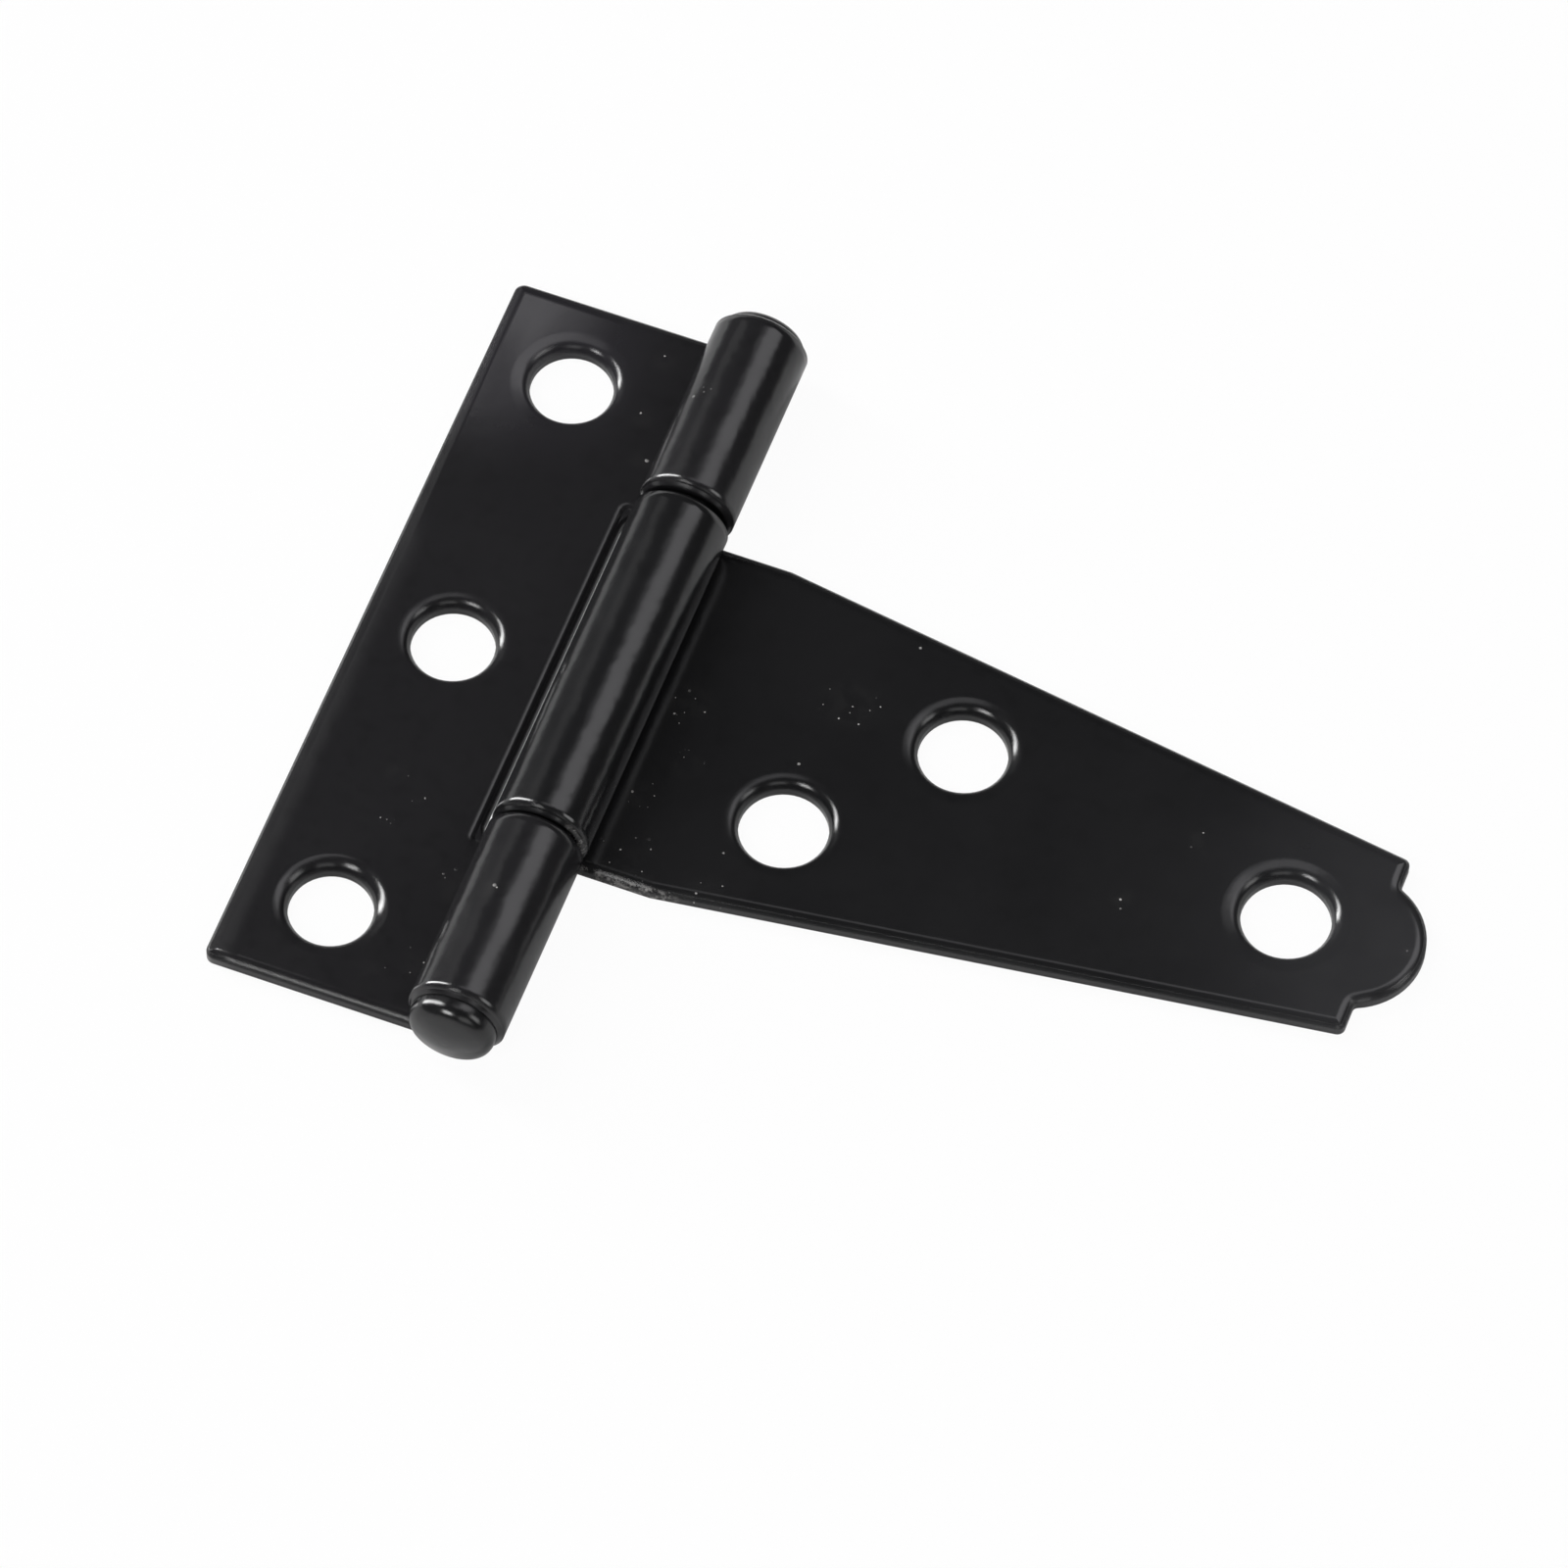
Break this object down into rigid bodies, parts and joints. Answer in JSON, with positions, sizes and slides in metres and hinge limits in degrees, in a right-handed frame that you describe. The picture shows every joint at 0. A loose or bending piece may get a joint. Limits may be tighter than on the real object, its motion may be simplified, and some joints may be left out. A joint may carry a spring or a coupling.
{
  "type": "tee hinge",
  "caption": "Light tee hinge with a rectangular butt leaf, a long tapered strap with a round tongue tip, and a headed pin through the rolled knuckles.",
  "frame": {"origin": "on the plane of the leaves' back faces, straight under the pin's axis and half way along the butt leaf", "axes": "+Z out of the front faces, towards the screw heads; +X from the pin towards the strap's tip; +Y along the pin, from its button head to its peened end"},
  "size_m": [0.0667, 0.0531, 0.006],
  "materials": {
    "leaf_coating": "satin",
    "strap_coating": "satin",
    "pin_coating": "satin"
  },
  "bodies": {
    "butt": {"butt_leaf": "leaf_coating", "hinge_pin": "pin_coating"},
    "strap": {"strap_leaf": "strap_coating"}
  },
  "joints": [
    {"name": "strap_fold", "type": "hinge", "parent": "butt", "child": "strap", "pos_m": [0, 0, 0.003], "axis": [0, -1, 0], "range_deg": [-95, 193]}
  ]
}
